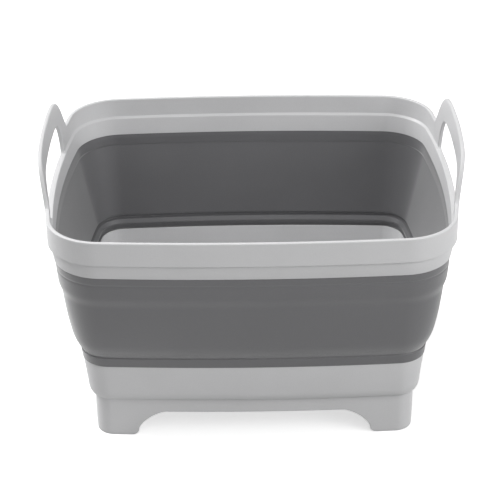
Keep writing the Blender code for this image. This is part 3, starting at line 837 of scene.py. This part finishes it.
def moulded_plastic(name, hex_colour, grain, cloud, roughness, relief, speckle, ior, ground_darkening=0.0, sheen=0.0):
    """A plastic whose skin copies its steel mould.

    A fine grain bumps the surface and speckles the colour, and wide clouds vary the gloss and the colour a
    little. The colour is made darker towards the ground, within 4 mm of it, in grain-sized patches.
    Grains are drawn coarser than the real 0.1 mm so that they just show.
    """
    material = bpy.data.materials.new(name)
    material.use_nodes = True
    tree = material.node_tree
    tree.nodes.clear()
    place = node(tree, "ShaderNodeTexCoord").outputs["Object"]
    fine = node(tree, "ShaderNodeTexNoise", [("Vector", place), ("Scale", 1 / grain), ("Detail", 3.0),
                                             ("Roughness", 0.6)]).outputs["Fac"]
    pits = node(tree, "ShaderNodeTexVoronoi", [("Vector", place), ("Scale", 1 / (1.7 * grain))],
                feature="SMOOTH_F1").outputs["Distance"]
    wide = node(tree, "ShaderNodeTexNoise", [("Vector", place), ("Scale", 1 / cloud), ("Detail", 2.0),
                                             ("Distortion", 0.4)]).outputs["Fac"]
    tone = node(tree, "ShaderNodeMix", [("Factor", wide), (6, shade(hex_colour, 1 - CLOUD_TONE)),
                                        (7, shade(hex_colour, 1 + CLOUD_TONE))], data_type="RGBA").outputs[2]
    fleck = remap(tree, fine, (1 - speckle, 1 + speckle), NOISE_RANGE)
    tone = joined(tree, "MULTIPLY", tone, fleck, "ShaderNodeVectorMath")
    gloss = remap(tree, wide, (roughness - CLOUD_GLOSS, roughness + CLOUD_GLOSS), NOISE_RANGE)
    # Colour made darker towards the ground, within 4 mm of it, in patches of the fine grain
    if ground_darkening:
        height = node(tree, "ShaderNodeSeparateXYZ", [("Vector", place)]).outputs["Z"]
        near_ground = remap(tree, height, (ground_darkening, 0.0), (0.0, GROUND_DARKENING_HEIGHT), interpolation_type="SMOOTHSTEP")
        darkened_share = joined(tree, "MULTIPLY", near_ground, fine)
        keep = joined(tree, "SUBTRACT", 1.0, darkened_share)
        tone = joined(tree, "MULTIPLY", tone, keep, "ShaderNodeVectorMath")
    height = joined(tree, "ADD", fine, pits)
    normal = node(tree, "ShaderNodeBump", [("Height", height), ("Strength", relief),
                                           ("Distance", GRAIN_DEPTH)]).outputs["Normal"]
    shader = node(tree, "ShaderNodeBsdfPrincipled", [("Base Color", tone), ("Roughness", gloss),
                                                     ("Normal", normal), ("IOR", ior),
                                                     ("Sheen Weight", sheen), ("Sheen Roughness", 0.4)])
    node(tree, "ShaderNodeOutputMaterial", [("Surface", shader.outputs[0])])
    return material


def moulded_polypropylene(name, finish, ground_darkening=0.0):
    """Moulded polypropylene, satin from a finely eroded mould: broad soft highlights, faint grain."""
    return moulded_plastic(name, finish.pale, finish.pale_grain, finish.cloud, roughness=0.42, relief=0.25,
                           speckle=0.02, ior=1.49, ground_darkening=ground_darkening)


def thermoplastic_rubber(name, finish):
    """Thermoplastic rubber, matte and dark, with a dry skin that only glancing light brightens."""
    return moulded_plastic(name, finish.dark, finish.dark_grain, finish.cloud, roughness=0.45, relief=0.4,
                           speckle=0.05, ior=1.5, sheen=0.9)


def area_lamp(name, place, aim, size, power):
    """A soft square lamp that looks at a point."""
    lamp = bpy.data.lights.new(name, "AREA")
    lamp.shape, lamp.size, lamp.energy = "SQUARE", size, power
    made = bpy.data.objects.new(name, lamp)
    made.location = place
    made.rotation_euler = (Vector(aim) - Vector(place)).to_track_quat("-Z", "Y").to_euler()
    bpy.context.scene.collection.objects.link(made)
    return made


def seen_directly(tree):
    """1 for what is seen straight, in a gloss or through glass, and 0 for the light on the object."""
    path = node(tree, "ShaderNodeLightPath")
    either = joined(tree, "MAXIMUM", path.outputs["Is Camera Ray"], path.outputs["Is Glossy Ray"])
    return joined(tree, "MAXIMUM", either, path.outputs["Is Transmission Ray"])


def build_floor(glow, bounce):
    """A level floor, matt and white where it is seen, with a little white of its own, so its shadow stays.

    It throws back only the bounce share of the light onto the object.
    """
    reach = 4.0
    level = -0.05 * MM
    paper_white = 0.9
    mesh = bpy.data.meshes.new("floor")
    mesh.from_pydata([(-reach, -reach, level), (reach, -reach, level), (reach, reach, level),
                      (-reach, reach, level)], [], [(0, 1, 2, 3)])
    material = bpy.data.materials.new("white paper sweep")
    material.use_nodes = True
    tree = material.node_tree
    tree.nodes.clear()
    seen = seen_directly(tree)
    white = remap(tree, seen, (bounce, paper_white))
    matt = node(tree, "ShaderNodeBsdfDiffuse", [("Color", white)])
    strength = joined(tree, "MULTIPLY", seen, glow)
    light = node(tree, "ShaderNodeEmission", [("Strength", strength)])
    both = node(tree, "ShaderNodeAddShader", [(0, matt.outputs[0]), (1, light.outputs[0])])
    node(tree, "ShaderNodeOutputMaterial", [("Surface", both.outputs[0])])
    mesh.materials.append(material)
    floor = bpy.data.objects.new("floor", mesh)
    bpy.context.scene.collection.objects.link(floor)


def build_world(sky):
    """White where the camera sees it, and an even, weaker light on the object."""
    world = bpy.data.worlds.new("studio")
    world.use_nodes = True
    tree = world.node_tree
    tree.nodes.clear()
    strength = remap(tree, seen_directly(tree), (sky, 1.0))
    light = node(tree, "ShaderNodeBackground", [("Color", (1.0, 1.0, 1.0, 1.0)), ("Strength", strength)])
    node(tree, "ShaderNodeOutputWorld", [("Surface", light.outputs[0])])
    bpy.context.scene.world = world


def build_camera(studio):
    """The camera looks along +Y and down, a little rolled, from the photographed side."""
    up_angle = studio.elevation
    back = Vector((0.0, -math.cos(up_angle), math.sin(up_angle)))
    right = Vector((1.0, 0.0, 0.0))
    up = back.cross(right)
    rolled_right = right * math.cos(studio.roll) + up * math.sin(studio.roll)
    rolled_up = back.cross(rolled_right)
    data = bpy.data.cameras.new("camera")
    data.sensor_width, data.lens = 36.0, studio.lens
    data.clip_start, data.clip_end = 0.05, 50.0
    camera = bpy.data.objects.new("camera", data)
    turn = Matrix((rolled_right, rolled_up, back)).transposed().to_4x4()
    camera.matrix_world = Matrix.Translation(Vector(studio.aim) + back * studio.distance) @ turn
    bpy.context.scene.collection.objects.link(camera)
    bpy.context.scene.camera = camera


def build_studio(studio):
    """Plain pale floor, soft lamps above, in front and on both sides, and the camera."""
    build_floor(studio.glow, studio.bounce)
    build_world(studio.sky)
    middle = (0.0, 0.0, 0.12)
    area_lamp("top softbox", (0.1, -0.7, 1.8), middle, 1.4, studio.top_light)
    area_lamp("left softbox", (-1.25, 0.45, 1.55), middle, 1.2, studio.left_light)
    area_lamp("right softbox", (1.5, -0.9, 1.0), middle, 1.2, studio.right_light)
    area_lamp("front softbox", (0.4, -1.7, 1.25), middle, 1.8, studio.front_light)
    build_camera(studio)
    bpy.context.scene.view_settings.view_transform = "Standard"


class BasinOperator(Operator):
    """What the operators share: undo, and the basin's settings."""
    bl_options = {"REGISTER", "UNDO"}

    def execute(self, context):
        self.build(context.scene.basin)
        return {"FINISHED"}


class BASIN_OT_rim(BasinOperator):
    """Build the rim with its two loop handles"""
    bl_idname = "basin.rim"
    bl_label = "Rim with handles"

    def build(self, settings):
        build_rim(settings, moulded_polypropylene("satin moulded polypropylene, rim", settings.finish))


class BASIN_OT_wall(BasinOperator):
    """Build the folding soft wall"""
    bl_idname = "basin.wall"
    bl_label = "Soft wall"

    def build(self, settings):
        build_wall(settings, thermoplastic_rubber("matte thermoplastic rubber, wall", settings.finish))


class BASIN_OT_tray(BasinOperator):
    """Build the tray with its feet and drain"""
    bl_idname = "basin.tray"
    bl_label = "Tray with feet"

    def build(self, settings):
        # The tray's colour is made up to a fifth darker towards the ground, in grain-sized patches
        finish = moulded_polypropylene("satin moulded polypropylene, tray", settings.finish, ground_darkening=0.2)
        build_tray(settings, finish)


class BASIN_OT_plug(BasinOperator):
    """Build the drain plug and its seal ring"""
    bl_idname = "basin.plug"
    bl_label = "Plug and seal"

    def build(self, settings):
        build_plug(settings, moulded_polypropylene("satin moulded polypropylene, plug", settings.finish))
        build_seal(settings, thermoplastic_rubber("matte thermoplastic rubber, seal", settings.finish))


class BASIN_OT_studio(BasinOperator):
    """Build the floor, lamps and camera"""
    bl_idname = "basin.studio"
    bl_label = "Studio"

    def build(self, settings):
        build_studio(settings.studio)


OPERATORS = (BASIN_OT_rim, BASIN_OT_wall, BASIN_OT_tray, BASIN_OT_plug, BASIN_OT_studio)


class VIEW3D_PT_basin(Panel):
    """Lists what can be built"""
    bl_label = "Wash basin"
    bl_space_type = "VIEW_3D"
    bl_region_type = "UI"
    bl_category = "Wash basin"

    def draw(self, context):
        for operator in OPERATORS:
            self.layout.operator(operator.bl_idname)


CLASSES = (OutlineSizes, RimSizes, WallSizes, TraySizes, DrainSizes, Finishes, StudioSettings,
           BasinSettings, *OPERATORS, VIEW3D_PT_basin)


def register():
    for item in CLASSES:
        bpy.utils.register_class(item)
    bpy.types.Scene.basin = PointerProperty(type=BasinSettings, name="Basin", description="Wash basin")


def unregister():
    del bpy.types.Scene.basin
    for item in reversed(CLASSES):
        bpy.utils.unregister_class(item)


def main():
    """Builds the studio and every piece."""
    register()
    bpy.ops.basin.studio()
    bpy.ops.basin.rim()
    bpy.ops.basin.wall()
    bpy.ops.basin.tray()
    bpy.ops.basin.plug()


if __name__ == "__main__":
    main()
